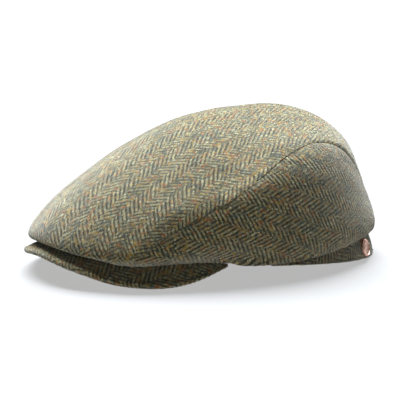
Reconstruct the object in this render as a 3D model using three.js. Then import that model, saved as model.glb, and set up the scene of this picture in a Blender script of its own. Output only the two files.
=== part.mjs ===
// A tweed flat cap: a six-piece sewn form with a one-piece top, two side panels, a short peak,
// a narrow back band and a badge button. Millimetres, +Z up, the peak towards -Y.
import * as THREE from 'three';

// Driving sizes.
const HEAD_LENGTH = 206;
const HEAD_WIDTH = 174;
const CROWN_HEIGHT = 108;
const CLOTH = 2.5;
const SEAM_GAP = 0.3;
const SEAT_GAP = 0.5;
const PEAK_THICKNESS = 4.5;
const PEAK_BOW = 2;
const BAND_HEIGHT = 17;
const BUTTON_RADIUS = 6.5;
const BUTTON_THICKNESS = 2.4;
const BUTTON_GAP = 0.3;

// Thickness of the peak's ends, as a share of the whole.
const PEAK_END_SHARE = 0.3;

// Places around the head opening, in degrees from the front middle.
const FULL_TURN = 360;
const BACK = FULL_TURN / 2;
const STATION_STEP = 30;
const SEAM_START = 20;
const SIDE_PANEL_START = 20.8;
const PEAK_THIN_START = 44;
const PEAK_END = 64;
const SHED_STEP = 5;
const PEAK_SHED = PEAK_END + SHED_STEP;
const BAND_START = 70;
const BAND_CUT = 82;
const BAND_FULL = 150;
const BUTTON_ANGLE = 135.5;

// How finely each piece is faceted.
const FRONT_ROWS = 16;
const SEAM_ROWS = 40;
const SEAM_CROWDING = 1.3;
const LEVELS = 20;
const LEVEL_CROWDING = 1.2;
const PEAK_ROWS = 36;
const PEAK_COLUMNS = 6;
const NOSE_STEPS = 5;
const BAND_ROWS = 52;
const BAND_STEPS = 4;
const BUTTON_ROWS = 32;

// Rings of the crown, from the head opening up towards the middle of the top. Each list runs from
// the front middle to the back middle, one value at each station. reach and shift are shares of
// half the head size. height is a share of the crown height: the first two rings measure it from
// what they rest on, the others from the ground.
const SEATED_RINGS = 2;
const RINGS = [
  {
    ring: 'edge', shift: 0,
    reach: [1, 1, 1, 1, 1.01, 1.02, 1.02],
    height: [0, 0, 0, 0, 0, 0, 0],
  },
  {
    ring: 'under', shift: 0,
    reach: [1.32, 1.25, 1.03, 1.025, 1.045, 1.045, 1.03],
    height: [0, 0, 0.01, 0.005, 0, 0, 0.005],
  },
  {
    ring: 'lip', shift: 0,
    reach: [1.465, 1.39, 1.125, 1.065, 1.08, 1.075, 1.065],
    height: [0.25, 0.206, 0.255, 0.257, 0.232, 0.195, 0.185],
  },
  {
    ring: 'bulge', shift: 0,
    reach: [1.4, 1.32, 1.13, 1.055, 1.065, 1.06, 1.05],
    height: [0.385, 0.345, 0.4, 0.427, 0.368, 0.307, 0.295],
  },
  {
    ring: 'flank', shift: 0.06,
    reach: [1.235, 1.175, 1.05, 0.985, 0.955, 0.91, 0.93],
    height: [0.565, 0.52, 0.595, 0.69, 0.638, 0.553, 0.552],
  },
  {
    ring: 'shoulder', shift: 0.14,
    reach: [0.945, 0.885, 0.805, 0.775, 0.77, 0.73, 0.725],
    height: [0.765, 0.745, 0.782, 0.857, 0.834, 0.781, 0.777],
  },
  {
    ring: 'crest', shift: 0.22,
    reach: [0.54, 0.5, 0.435, 0.4, 0.405, 0.405, 0.39],
    height: [0.958, 0.94, 0.93, 0.941, 0.943, 0.943, 0.946],
  },
];
const TOP_SHIFT = 0.26;
const TOP_RISE = 1;

// Height of the head opening at each station, as a share of the crown height.
const OPENING_RISE = [0.238, 0.192, 0.131, 0.093, 0.044, 0, 0];

// The peak's outer edge from its middle to its end, at equal steps of angle. reach is a share of
// half the head size, and rise a share of the crown height.
const PEAK_EDGE = [
  { place: 'middle', reach: 1.5, rise: 0.156 },
  { place: 'inner quarter', reach: 1.475, rise: 0.111 },
  { place: 'corner', reach: 1.38, rise: 0.035 },
  { place: 'outer quarter', reach: 1.25, rise: 0.03 },
  { place: 'end', reach: 1.03, rise: 0.12 },
];

// Where the seam between top and side panel lies on the crown, at equal steps of angle from its
// start under the front lip to the back middle, as a share of the way up to the top.
const SEAM_PLACE = [0, 0.4, 0.55, 0.672, 0.704, 0.615, 0.49, 0.43];

// Soft hollows pressed into the cloth. angle and width are in degrees, place and spread are shares
// of the way up, and depth is a share of the crown height.
const DENTS = [
  { dent: 'left temple', angle: 66, width: 16, place: 0.66, spread: 0.1, depth: 0.022 },
  { dent: 'right temple', angle: -74, width: 18, place: 0.62, spread: 0.1, depth: 0.018 },
  { dent: 'left front', angle: 34, width: 12, place: 0.52, spread: 0.12, depth: 0.01 },
  { dent: 'back', angle: 168, width: 14, place: 0.5, spread: 0.08, depth: 0.012 },
];
const DENT_CENTRE_SHIFT = 0.1;
const DENT_CENTRE_RISE = 0.4;

// The band leans out towards its lower edge.
const BAND_LEAN = 0.055;
const BAND_OFFSET = 0.015;

const HALF_LENGTH = HEAD_LENGTH / 2;
const HALF_WIDTH = HEAD_WIDTH / 2;
const RADIANS = Math.PI / 180;

const clamp = (value, low, high) => Math.min(Math.max(value, low), high);
const smooth = (share) => share * share * (3 - 2 * share);

// A curve through four equally spaced values, between the second and the third.
function spline(before, start, end, after, share) {
  const leaving = (end - before) / 2;
  const arriving = (after - start) / 2;
  const cubic = 2 * start - 2 * end + leaving + arriving;
  const square = 3 * end - 3 * start - 2 * leaving - arriving;
  return ((cubic * share + square) * share + leaving) * share + start;
}

// The same curve through a whole list, mirrored at its first value, and at its last value either
// mirrored or run straight on.
function along(values, place, mirrored) {
  const last = values.length - 1;
  const held = clamp(place, 0, last);
  const from = Math.min(Math.floor(held), last - 1);
  const read = (index) => {
    const low = Math.abs(index);
    if (low <= last) return values[low];
    return mirrored ? values[2 * last - low] : 2 * values[last] - values[last - 1];
  };
  return spline(read(from - 1), read(from), read(from + 1), read(from + 2), held - from);
}

// Degrees away from the front middle, whichever side.
function fold(angle) {
  const turned = ((angle + BACK) % FULL_TURN + FULL_TURN) % FULL_TURN;
  return Math.abs(turned - BACK);
}

const atStation = (values, angle) => along(values, fold(angle) / STATION_STEP, true);

function onOval(angle, reach, rise) {
  const turn = angle * RADIANS;
  const across = HALF_WIDTH * reach * Math.sin(turn);
  return new THREE.Vector3(across, -HALF_LENGTH * reach * Math.cos(turn), rise);
}

const openingRise = (angle) => Math.max(0, CROWN_HEIGHT * atStation(OPENING_RISE, angle));

function bandHeight(angle) {
  const share = clamp((fold(angle) - BAND_START) / (BAND_FULL - BAND_START), 0, 1);
  return BAND_HEIGHT * smooth(share);
}

function peakEdge(angle) {
  const place = fold(angle) / PEAK_END * (PEAK_EDGE.length - 1);
  const reach = along(PEAK_EDGE.map((row) => row.reach), place, false);
  const rise = along(PEAK_EDGE.map((row) => row.rise), place, false);
  return { reach, rise: rise * CROWN_HEIGHT };
}

// Underside of the peak at a share of the way from the head opening to its outer edge.
function peakUnderside(angle, share) {
  const edge = peakEdge(angle);
  const bow = PEAK_BOW * 4 * share * (1 - share) * smooth(clamp((edge.reach - 1) * 3, 0, 1));
  return Math.max(0, openingRise(angle) * (1 - share) + edge.rise * share + bow);
}

// Thickness of the peak, which thins out towards its ends.
function peakThickness(angle) {
  const share = smooth(clamp((fold(angle) - PEAK_THIN_START) / (PEAK_END - PEAK_THIN_START), 0, 1));
  return PEAK_THICKNESS * (1 - share + share * PEAK_END_SHARE);
}

function peakTop(angle, reach) {
  const edge = peakEdge(angle);
  const share = clamp((reach - 1) / (edge.reach - 1), 0, 1);
  return peakUnderside(angle, share) + peakThickness(angle);
}

// What the crown rests on: the peak in front, the band behind.
function seat(angle, reach) {
  const from = fold(angle);
  const onPeak = smooth(clamp((PEAK_SHED - from) / (PEAK_SHED - PEAK_END), 0, 1));
  const ahead = onPeak > 0 ? peakTop(Math.min(from, PEAK_END), reach) : 0;
  const behind = openingRise(angle) + bandHeight(angle);
  return SEAT_GAP + onPeak * ahead + (1 - onPeak) * behind;
}

// One point of each ring at an angle, then the middle of the top.
function ringPoints(angle) {
  const points = RINGS.map((row, index) => {
    const reach = atStation(row.reach, angle);
    const base = index < SEATED_RINGS ? seat(angle, reach) : 0;
    const point = onOval(angle, reach, base + CROWN_HEIGHT * atStation(row.height, angle));
    point.y += HALF_LENGTH * row.shift;
    return point;
  });
  points.push(new THREE.Vector3(0, HALF_LENGTH * TOP_SHIFT, CROWN_HEIGHT * TOP_RISE));
  return points;
}

const RING_CACHE = new Map();
function rings(angle) {
  const key = ((angle % FULL_TURN) + FULL_TURN) % FULL_TURN;
  if (!RING_CACHE.has(key)) RING_CACHE.set(key, ringPoints(key));
  return RING_CACHE.get(key);
}

function pressDents(point, angle, place) {
  const centre = new THREE.Vector3(0, HALF_LENGTH * DENT_CENTRE_SHIFT, CROWN_HEIGHT * DENT_CENTRE_RISE);
  const inward = centre.sub(point).normalize();
  for (const row of DENTS) {
    const turned = ((angle - row.angle + BACK) % FULL_TURN + FULL_TURN) % FULL_TURN - BACK;
    const off = (turned / row.width) ** 2 + ((place - row.place) / row.spread) ** 2;
    point.addScaledVector(inward, CROWN_HEIGHT * row.depth * Math.exp(-off));
  }
  return point;
}

// The outside of the crown. place runs from 0 at the head opening to 1 at the middle of the top.
function crown(angle, place) {
  const near = rings(angle);
  const last = near.length - 1;
  const held = clamp(place, 0, 1) * last;
  const from = Math.min(Math.floor(held), last - 1);
  const far = from + 2 > last ? rings(angle + BACK)[last - 1] : near[from + 2];
  const before = from > 0 ? near[from - 1] : near[0].clone().multiplyScalar(2).sub(near[1]);
  const point = new THREE.Vector3();
  for (const axis of ['x', 'y', 'z']) {
    point[axis] = spline(before[axis], near[from][axis], near[from + 1][axis], far[axis], held - from);
  }
  pressDents(point, angle, place);
  if (from < SEATED_RINGS && fold(angle) < PEAK_SHED) {
    const reach = Math.hypot(point.x / HALF_WIDTH, point.y / HALF_LENGTH);
    point.z = Math.max(point.z, seat(angle, reach));
  }
  return point;
}

const ANGLE_STEP = 0.25;
const PLACE_STEP = 0.002;

function slopes(angle, place) {
  const low = Math.max(place - PLACE_STEP, 0);
  const high = Math.min(place + PLACE_STEP, 1);
  const around = crown(angle + ANGLE_STEP, place).sub(crown(angle - ANGLE_STEP, place));
  const up = crown(angle, high).sub(crown(angle, low));
  return { around: around.divideScalar(2 * ANGLE_STEP), up: up.divideScalar(high - low) };
}

function inside(angle, place) {
  const { around, up } = slopes(angle, place);
  const outward = around.cross(up).normalize();
  return crown(angle, place).addScaledVector(outward, -CLOTH);
}

function seamPlace(angle) {
  const rows = SEAM_PLACE.length - 1;
  const place = (fold(angle) - SEAM_START) / (BACK - SEAM_START) * rows;
  if (place < 1) {
    const ahead = 2 * SEAM_PLACE[0] - SEAM_PLACE[1];
    return spline(ahead, SEAM_PLACE[0], SEAM_PLACE[1], SEAM_PLACE[2], Math.max(place, 0));
  }
  return along(SEAM_PLACE, place, true);
}

// Half the seam gap, measured square to the seam, as a share of the way up.
function seamMargin(angle) {
  const { around, up } = slopes(angle, seamPlace(angle));
  const rate = (seamPlace(angle + ANGLE_STEP) - seamPlace(angle)) / ANGLE_STEP;
  const run = around.addScaledVector(up, rate);
  return SEAM_GAP / 2 * run.length() / up.clone().cross(run).length();
}

// Angles at which both panels meet along a seam, from the front to the back.
const SEAM_ANGLES = Array.from({ length: SEAM_ROWS + 1 }, (_, row) => (
  SIDE_PANEL_START + (BACK - SIDE_PANEL_START) * (row / SEAM_ROWS) ** SEAM_CROWDING
));

// Shares of the way up at which every panel has its columns of points.
const PLACES = Array.from({ length: LEVELS }, (_, level) => (level / LEVELS) ** LEVEL_CROWDING);

function panelRow(angle, start, end) {
  const places = PLACES.map((place) => clamp(place, start, end));
  if (end < 1) places.push(end);
  return {
    outer: places.map((place) => crown(angle, place)),
    inner: places.map((place) => inside(angle, place)),
  };
}

// Turns rows of outer and inner points into one closed wall. A ring of rows has no end walls, and
// a pole closes the last column with one outer and one inner point. Points of a row may coincide
// where the panel is narrow, and faces that they leave empty are skipped.
function wallGeometry(outer, inner, ring, pole) {
  const rows = outer.length;
  const columns = outer[0].length;
  const positions = [];
  for (const row of [...outer, ...inner]) {
    for (const point of row) positions.push(point.x, point.y, point.z);
  }
  const innerStart = rows * columns;
  const poleStart = 2 * innerStart;
  if (pole) positions.push(...pole.outer.toArray(), ...pole.inner.toArray());
  const faces = [];
  const same = (a, b) => [0, 1, 2].every((axis) => positions[3 * a + axis] === positions[3 * b + axis]);
  const face = (a, b, c) => {
    if (!same(a, b) && !same(b, c) && !same(c, a)) faces.push(a, b, c);
  };
  const quad = (a, b, c, d) => {
    face(a, b, c);
    face(a, c, d);
  };
  const at = (row, column) => (row % rows) * columns + column;
  const spans = ring ? rows : rows - 1;
  for (let row = 0; row < spans; row += 1) {
    for (let column = 0; column < columns - 1; column += 1) {
      const a = at(row, column);
      const b = at(row + 1, column);
      const c = at(row + 1, column + 1);
      const d = at(row, column + 1);
      quad(a, b, c, d);
      quad(innerStart + a, innerStart + d, innerStart + c, innerStart + b);
    }
    const low = at(row, 0);
    const lowNext = at(row + 1, 0);
    quad(low, innerStart + low, innerStart + lowNext, lowNext);
    const high = at(row, columns - 1);
    const highNext = at(row + 1, columns - 1);
    if (pole) {
      face(high, highNext, poleStart);
      face(innerStart + high, poleStart + 1, innerStart + highNext);
    } else {
      quad(high, highNext, innerStart + highNext, innerStart + high);
    }
  }
  if (!ring) {
    for (let column = 0; column < columns - 1; column += 1) {
      const first = at(0, column);
      const final = at(rows - 1, column);
      quad(first, first + 1, innerStart + first + 1, innerStart + first);
      quad(final, innerStart + final, innerStart + final + 1, final + 1);
    }
  }
  const geometry = new THREE.BufferGeometry();
  geometry.setAttribute('position', new THREE.Float32BufferAttribute(positions, 3));
  geometry.setIndex(faces);
  return geometry;
}

function topPanelGeometry() {
  const front = Array.from({ length: FRONT_ROWS }, (_, row) => (
    -SEAM_START + 2 * SEAM_START * row / (FRONT_ROWS - 1)
  ));
  const left = SEAM_ANGLES;
  const right = SEAM_ANGLES.slice(0, -1).reverse().map((angle) => -angle);
  const angles = [...front, ...left, ...right];
  const rows = angles.map((angle) => {
    const start = fold(angle) < SEAM_START ? 0 : seamPlace(angle) + seamMargin(fold(angle));
    return panelRow(angle, start, 1);
  });
  const peakOfCrown = crown(0, 1);
  const below = peakOfCrown.clone();
  below.z -= CLOTH;
  const pole = { outer: peakOfCrown, inner: below };
  return wallGeometry(rows.map((row) => row.outer), rows.map((row) => row.inner), true, pole);
}

function sidePanelGeometry(side) {
  const backGap = SEAM_GAP / 2 / (HALF_WIDTH * RADIANS);
  const rows = SEAM_ANGLES.map((seamAngle) => {
    const end = seamPlace(seamAngle) - seamMargin(seamAngle);
    return panelRow(side * Math.min(seamAngle, BACK - backGap), 0, end);
  });
  if (side < 0) rows.reverse();
  return wallGeometry(rows.map((row) => row.outer), rows.map((row) => row.inner), false, null);
}

// Closed sections of equal length joined one after another, with flat ends.
function sectionGeometry(sections) {
  const size = sections[0].length;
  const positions = sections.flat().flatMap((point) => point.toArray());
  const faces = [];
  for (let row = 0; row < sections.length - 1; row += 1) {
    for (let step = 0; step < size; step += 1) {
      const next = (step + 1) % size;
      const a = row * size + step;
      const b = row * size + next;
      faces.push(a, b, b + size, a, b + size, a + size);
    }
  }
  const endStart = (sections.length - 1) * size;
  for (let low = 0, high = size - 1; high - low > 1;) {
    faces.push(low, high, low + 1);
    faces.push(endStart + low, endStart + low + 1, endStart + high);
    if (high - low > 2) {
      faces.push(low + 1, high, high - 1);
      faces.push(endStart + low + 1, endStart + high - 1, endStart + high);
    }
    low += 1;
    high -= 1;
  }
  const geometry = new THREE.BufferGeometry();
  geometry.setAttribute('position', new THREE.Float32BufferAttribute(positions, 3));
  geometry.setIndex(faces);
  return geometry;
}

// The peak's section runs out along the underside, round the nose and back along the top.
function peakGeometry() {
  const sections = [];
  for (let row = 0; row <= PEAK_ROWS; row += 1) {
    const angle = PEAK_END * (1 - 2 * row / PEAK_ROWS);
    const edge = peakEdge(angle);
    const section = [];
    const rim = onOval(angle, edge.reach, 0);
    const outward = rim.clone().sub(onOval(angle, 1, 0)).normalize();
    const thickness = peakThickness(angle);
    const radius = thickness / 2;
    const setBack = Math.min(radius, rim.distanceTo(onOval(angle, 1, 0)) / 2);
    for (let column = 0; column <= PEAK_COLUMNS; column += 1) {
      const share = column / PEAK_COLUMNS;
      const point = onOval(angle, 1 + share * (edge.reach - 1), peakUnderside(angle, share));
      point.addScaledVector(outward, -setBack * share);
      section.push(point);
    }
    const middle = peakUnderside(angle, 1) + radius;
    for (let step = 1; step < NOSE_STEPS; step += 1) {
      const turn = Math.PI * (step / NOSE_STEPS - 0.5);
      const point = rim.clone().setZ(middle + radius * Math.sin(turn));
      point.addScaledVector(outward, setBack * (Math.cos(turn) - 1));
      section.push(point);
    }
    for (let column = PEAK_COLUMNS; column >= 0; column -= 1) {
      const share = column / PEAK_COLUMNS;
      const point = section[column].clone();
      point.z = peakUnderside(angle, share) + thickness;
      section.push(point);
    }
    sections.push(section);
  }
  return sectionGeometry(sections);
}

function bandPoint(angle, share) {
  const height = bandHeight(angle);
  const lean = BAND_OFFSET + BAND_LEAN * (1 - share);
  const reach = 1 + lean * height / BAND_HEIGHT;
  return onOval(angle, reach, openingRise(angle) + height * share);
}

// The band's section runs down its outside and back up its inside.
function bandGeometry() {
  const sections = [];
  for (let row = 0; row <= BAND_ROWS; row += 1) {
    const angle = BAND_CUT + (FULL_TURN - 2 * BAND_CUT) * row / BAND_ROWS;
    const ahead = onOval(angle + ANGLE_STEP, 1, 0).sub(onOval(angle - ANGLE_STEP, 1, 0));
    const inward = new THREE.Vector3(0, 0, 1).cross(ahead).normalize();
    const outside = [];
    for (let step = 0; step <= BAND_STEPS; step += 1) {
      outside.push(bandPoint(angle, 1 - step / BAND_STEPS));
    }
    const back = outside.map((point) => point.clone().addScaledVector(inward, CLOTH));
    sections.push([...outside, ...back.reverse()]);
  }
  return sectionGeometry(sections);
}

// A flat disc with a raised rim, its back on the band.
function buttonGeometry() {
  const profile = [
    { at: 'back middle', radius: 0, height: 0 },
    { at: 'back edge', radius: 0.95, height: 0 },
    { at: 'side low', radius: 1, height: 0.15 },
    { at: 'side high', radius: 1, height: 0.7 },
    { at: 'rim outside', radius: 0.96, height: 0.92 },
    { at: 'rim top', radius: 0.9, height: 1 },
    { at: 'rim inside', radius: 0.83, height: 0.92 },
    { at: 'face edge', radius: 0.8, height: 0.78 },
    { at: 'face middle', radius: 0, height: 0.82 },
  ];
  const points = profile.map((row) => (
    new THREE.Vector2(BUTTON_RADIUS * row.radius, BUTTON_THICKNESS * row.height)
  ));
  const geometry = new THREE.LatheGeometry(points, BUTTON_ROWS);
  geometry.rotateX(Math.PI / 2);
  return geometry;
}

function cloth(colour) {
  return new THREE.MeshStandardMaterial({ color: colour, roughness: 0.95, metalness: 0 });
}

function mesh(name, geometry, material) {
  geometry.computeVertexNormals();
  const made = new THREE.Mesh(geometry, material);
  made.name = name;
  return made;
}

const button = mesh('rivet', buttonGeometry(), new THREE.MeshStandardMaterial({
  color: 0xbe9780, roughness: 0.35, metalness: 0.9,
}));
const buttonSeat = bandPoint(BUTTON_ANGLE, 0.5);
const bandRun = bandPoint(BUTTON_ANGLE + ANGLE_STEP, 0.5).sub(bandPoint(BUTTON_ANGLE - ANGLE_STEP, 0.5));
const bandRise = bandPoint(BUTTON_ANGLE, 1).sub(bandPoint(BUTTON_ANGLE, 0));
const bandOutward = bandRun.cross(bandRise).normalize();
button.quaternion.setFromUnitVectors(new THREE.Vector3(0, 0, 1), bandOutward);
button.position.copy(buttonSeat).addScaledVector(bandOutward, BUTTON_GAP);

const cap = new THREE.Group();
cap.name = 'tweed_cap';
cap.add(mesh('top_panel', topPanelGeometry(), cloth(0x8a8770)));
cap.add(mesh('left_side_panel', sidePanelGeometry(1), cloth(0x5f5b43)));
cap.add(mesh('right_side_panel', sidePanelGeometry(-1), cloth(0x5f5b43)));
cap.add(mesh('back_band', bandGeometry(), cloth(0x57523c)));
cap.add(mesh('peak', peakGeometry(), cloth(0x4c4733)));
cap.add(button);

// The cap stands with the middle of its footprint at the origin.
cap.updateMatrixWorld(true);
const bounds = new THREE.Box3().setFromObject(cap, true);
cap.position.set(-(bounds.min.x + bounds.max.x) / 2, -(bounds.min.y + bounds.max.y) / 2, -bounds.min.z);

export default cap;
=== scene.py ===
"""A herringbone tweed flat cap: cloth panels laid out flat, woven, and put on the crown's form."""

import math

import bpy
import numpy as np
from mathutils import Matrix, Vector
from mathutils.geometry import delaunay_2d_cdt


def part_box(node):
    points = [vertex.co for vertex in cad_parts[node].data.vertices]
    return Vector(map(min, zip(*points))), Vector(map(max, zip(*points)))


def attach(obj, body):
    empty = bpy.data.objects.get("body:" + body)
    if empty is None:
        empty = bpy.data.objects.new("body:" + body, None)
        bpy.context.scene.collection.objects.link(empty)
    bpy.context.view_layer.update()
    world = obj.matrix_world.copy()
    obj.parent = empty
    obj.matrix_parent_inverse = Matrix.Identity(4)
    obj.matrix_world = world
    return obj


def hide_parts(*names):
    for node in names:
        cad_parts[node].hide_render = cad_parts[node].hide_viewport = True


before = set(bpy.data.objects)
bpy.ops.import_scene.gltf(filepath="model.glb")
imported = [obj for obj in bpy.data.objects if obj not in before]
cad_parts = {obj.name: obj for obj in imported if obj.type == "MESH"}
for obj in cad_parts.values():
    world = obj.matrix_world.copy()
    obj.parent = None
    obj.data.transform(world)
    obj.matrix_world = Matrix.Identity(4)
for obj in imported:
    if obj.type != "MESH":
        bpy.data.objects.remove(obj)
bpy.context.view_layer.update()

# Driving sizes in millimetres, the same as the part's.
HEAD_LENGTH = 206.0
HEAD_WIDTH = 174.0
CROWN_HEIGHT = 108.0
CLOTH = 2.5
SEAM_GAP = 0.3
SEAT_GAP = 0.5
PEAK_THICKNESS = 4.5
PEAK_END_SHARE = 0.3
PEAK_BOW = 2.0
BAND_HEIGHT = 17.0
BUTTON_RADIUS = 6.5
BUTTON_THICKNESS = 2.4
BUTTON_GAP = 0.3

# Places round the head opening, in degrees from the front middle.
BACK = 180.0
STATION_STEP = 30.0
SEAM_START = 20.0
SIDE_PANEL_START = 20.8
PEAK_THIN_START = 44.0
PEAK_END = 64.0
SHED_STEP = 5.0
PEAK_SHED = PEAK_END + SHED_STEP
BAND_START = 70.0
BAND_CUT = 82.0
BAND_FULL = 150.0
BUTTON_ANGLE = 135.5

# Rings of the crown: shift and reach are shares of half the head size, height of the crown height.
SEATED_RINGS = 2
RINGS = [
    dict(ring="edge", shift=0, reach=[1, 1, 1, 1, 1.01, 1.02, 1.02], height=[0, 0, 0, 0, 0, 0, 0]),
    dict(
        ring="under", shift=0,
        reach=[1.32, 1.25, 1.03, 1.025, 1.045, 1.045, 1.03],
        height=[0, 0, 0.01, 0.005, 0, 0, 0.005],
    ),
    dict(
        ring="lip", shift=0,
        reach=[1.465, 1.39, 1.125, 1.065, 1.08, 1.075, 1.065],
        height=[0.25, 0.206, 0.255, 0.257, 0.232, 0.195, 0.185],
    ),
    dict(
        ring="bulge", shift=0,
        reach=[1.4, 1.32, 1.13, 1.055, 1.065, 1.06, 1.05],
        height=[0.385, 0.345, 0.4, 0.427, 0.368, 0.307, 0.295],
    ),
    dict(
        ring="flank", shift=0.06,
        reach=[1.235, 1.175, 1.05, 0.985, 0.955, 0.91, 0.93],
        height=[0.565, 0.52, 0.595, 0.69, 0.638, 0.553, 0.552],
    ),
    dict(
        ring="shoulder", shift=0.14,
        reach=[0.945, 0.885, 0.805, 0.775, 0.77, 0.73, 0.725],
        height=[0.765, 0.745, 0.782, 0.857, 0.834, 0.781, 0.777],
    ),
    dict(
        ring="crest", shift=0.22,
        reach=[0.54, 0.5, 0.435, 0.4, 0.405, 0.405, 0.39],
        height=[0.958, 0.94, 0.93, 0.941, 0.943, 0.943, 0.946],
    ),
]
TOP_SHIFT = 0.26
OPENING_RISE = [0.238, 0.192, 0.131, 0.093, 0.044, 0, 0]
PEAK_EDGE_REACH = [1.5, 1.475, 1.38, 1.25, 1.03]
PEAK_EDGE_RISE = [0.156, 0.111, 0.035, 0.03, 0.12]
SEAM_PLACE = [0, 0.4, 0.55, 0.672, 0.704, 0.615, 0.49, 0.43]
DENTS = [
    dict(dent="left temple", angle=66, width=16, place=0.66, spread=0.1, depth=0.022),
    dict(dent="right temple", angle=-74, width=18, place=0.62, spread=0.1, depth=0.018),
    dict(dent="left front", angle=34, width=12, place=0.52, spread=0.12, depth=0.01),
    dict(dent="back", angle=168, width=14, place=0.5, spread=0.08, depth=0.012),
]
DENT_CENTRE_SHIFT = 0.1
DENT_CENTRE_RISE = 0.4
BAND_LEAN = 0.055
BAND_OFFSET = 0.015

# The cloth: yarn spacing, and yarns in one column of the herringbone, in millimetres.
YARN = 1.0
COLUMN_YARNS = 9
COLUMN = YARN * COLUMN_YARNS
TWILL_RELIEF = 0.16
SIDE_WEAVE_FALL = 27.5

HALF_LENGTH = HEAD_LENGTH / 2
HALF_WIDTH = HEAD_WIDTH / 2
CROWN_MIDDLE = np.array([0, HALF_LENGTH * DENT_CENTRE_SHIFT, CROWN_HEIGHT * DENT_CENTRE_RISE])
MM = 0.001

# Steps of the cloth's lattice, along the herringbone's columns and across them, in millimetres.
LATTICE = np.array([0.75, COLUMN / 12])
INNER_LATTICE = np.array([3.0, COLUMN / 3])
LATTICE_MARGIN = 3
RIM_SHARE = 0.6
TINY = 1e-6
SLIVER = 1e-9

# Where the part's own middle lies in the frame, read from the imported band.
band_low, band_high = (np.array(corner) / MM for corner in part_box("back_band"))
BAND_BACK = HALF_LENGTH * (1 + BAND_OFFSET + BAND_LEAN)
SHIFT = np.array([(band_low[0] + band_high[0]) / 2, band_high[1] - BAND_BACK, 0.0])


def smooth(share):
    share = np.clip(share, 0, 1)
    return share * share * (3 - 2 * share)


def spline(before, start, end, after, share):
    leaving = (end - before) / 2
    arriving = (after - start) / 2
    cubic = 2 * start - 2 * end + leaving + arriving
    square = 3 * end - 3 * start - 2 * leaving - arriving
    return ((cubic * share + square) * share + leaving) * share + start


def along(values, place, mirrored):
    """A curve through a list of equally spaced values, as the part's own."""
    values = np.asarray(values, float)
    last = len(values) - 1
    held = np.clip(place, 0, last)
    start = np.minimum(np.floor(held).astype(int), last - 1)

    def read(index):
        low = np.abs(index)
        beyond = values[np.clip(2 * last - low, 0, last)] if mirrored else 2 * values[last] - values[last - 1]
        return np.where(low <= last, values[np.minimum(low, last)], beyond)

    return spline(read(start - 1), read(start), read(start + 1), read(start + 2), held - start)


def fold(angle):
    return np.abs((np.asarray(angle, float) + BACK) % (2 * BACK) - BACK)


def at_station(values, angle):
    return along(values, fold(angle) / STATION_STEP, True)


def on_oval(angle, reach, rise):
    turn = np.radians(angle)
    rise = rise + 0 * turn
    return np.stack([HALF_WIDTH * reach * np.sin(turn), -HALF_LENGTH * reach * np.cos(turn), rise], -1)


def opening_rise(angle):
    return np.maximum(0, CROWN_HEIGHT * at_station(OPENING_RISE, angle))


def band_height(angle):
    share = np.clip((fold(angle) - BAND_START) / (BAND_FULL - BAND_START), 0, 1)
    return BAND_HEIGHT * smooth(share)


def peak_edge(angle):
    place = fold(angle) / PEAK_END * (len(PEAK_EDGE_REACH) - 1)
    return along(PEAK_EDGE_REACH, place, False), CROWN_HEIGHT * along(PEAK_EDGE_RISE, place, False)


def peak_underside(angle, share):
    reach, rise = peak_edge(angle)
    bow = PEAK_BOW * 4 * share * (1 - share) * smooth((reach - 1) * 3)
    return np.maximum(0, opening_rise(angle) * (1 - share) + rise * share + bow)


def peak_thickness(angle):
    share = smooth((fold(angle) - PEAK_THIN_START) / (PEAK_END - PEAK_THIN_START))
    return PEAK_THICKNESS * (1 - share + share * PEAK_END_SHARE)


def peak_top(angle, reach):
    edge, _ = peak_edge(angle)
    return peak_underside(angle, np.clip((reach - 1) / (edge - 1), 0, 1)) + peak_thickness(angle)


def seat(angle, reach):
    away = fold(angle)
    on_peak = smooth((PEAK_SHED - away) / (PEAK_SHED - PEAK_END))
    ahead = peak_top(np.minimum(away, PEAK_END), reach)
    behind = opening_rise(angle) + band_height(angle)
    return SEAT_GAP + on_peak * ahead + (1 - on_peak) * behind


def rings(angle):
    points = []
    for index, row in enumerate(RINGS):
        reach = at_station(row["reach"], angle)
        base = seat(angle, reach) if index < SEATED_RINGS else 0
        point = on_oval(angle, reach, base + CROWN_HEIGHT * at_station(row["height"], angle))
        point[..., 1] += HALF_LENGTH * row["shift"]
        points.append(point)
    top = np.array([0, HALF_LENGTH * TOP_SHIFT, CROWN_HEIGHT])
    points.append(np.broadcast_to(top, points[0].shape))
    return np.array(points)


def crown(angle, place):
    """The outside of the crown, place from 0 at the head opening to 1 at the middle of the top."""
    angle = np.asarray(angle, float)
    place = np.clip(np.asarray(place, float) + 0 * angle, 0, 1)
    near = rings(angle)
    far = rings(angle + BACK)[-2]
    last = len(near) - 1
    start = np.minimum(np.floor(place * last).astype(int), last - 1)
    share = (place * last - start)[..., None]
    each = np.arange(len(angle))

    def read(index):
        point = near[np.clip(index, 0, last), each]
        point = np.where((index < 0)[..., None], 2 * near[0] - near[1], point)
        return np.where((index > last)[..., None], far, point)

    point = spline(read(start - 1), read(start), read(start + 1), read(start + 2), share)
    inward = CROWN_MIDDLE - point
    inward /= np.linalg.norm(inward, axis=-1)[..., None]
    for row in DENTS:
        turned = (angle - row["angle"] + BACK) % (2 * BACK) - BACK
        off = (turned / row["width"]) ** 2 + ((place - row["place"]) / row["spread"]) ** 2
        point = point + inward * (CROWN_HEIGHT * row["depth"] * np.exp(-off))[..., None]
    reach = np.hypot(point[..., 0] / HALF_WIDTH, point[..., 1] / HALF_LENGTH)
    seated = (start < SEATED_RINGS) & (fold(angle) < PEAK_SHED)
    point[..., 2] = np.where(seated, np.maximum(point[..., 2], seat(angle, reach)), point[..., 2])
    return point


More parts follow.
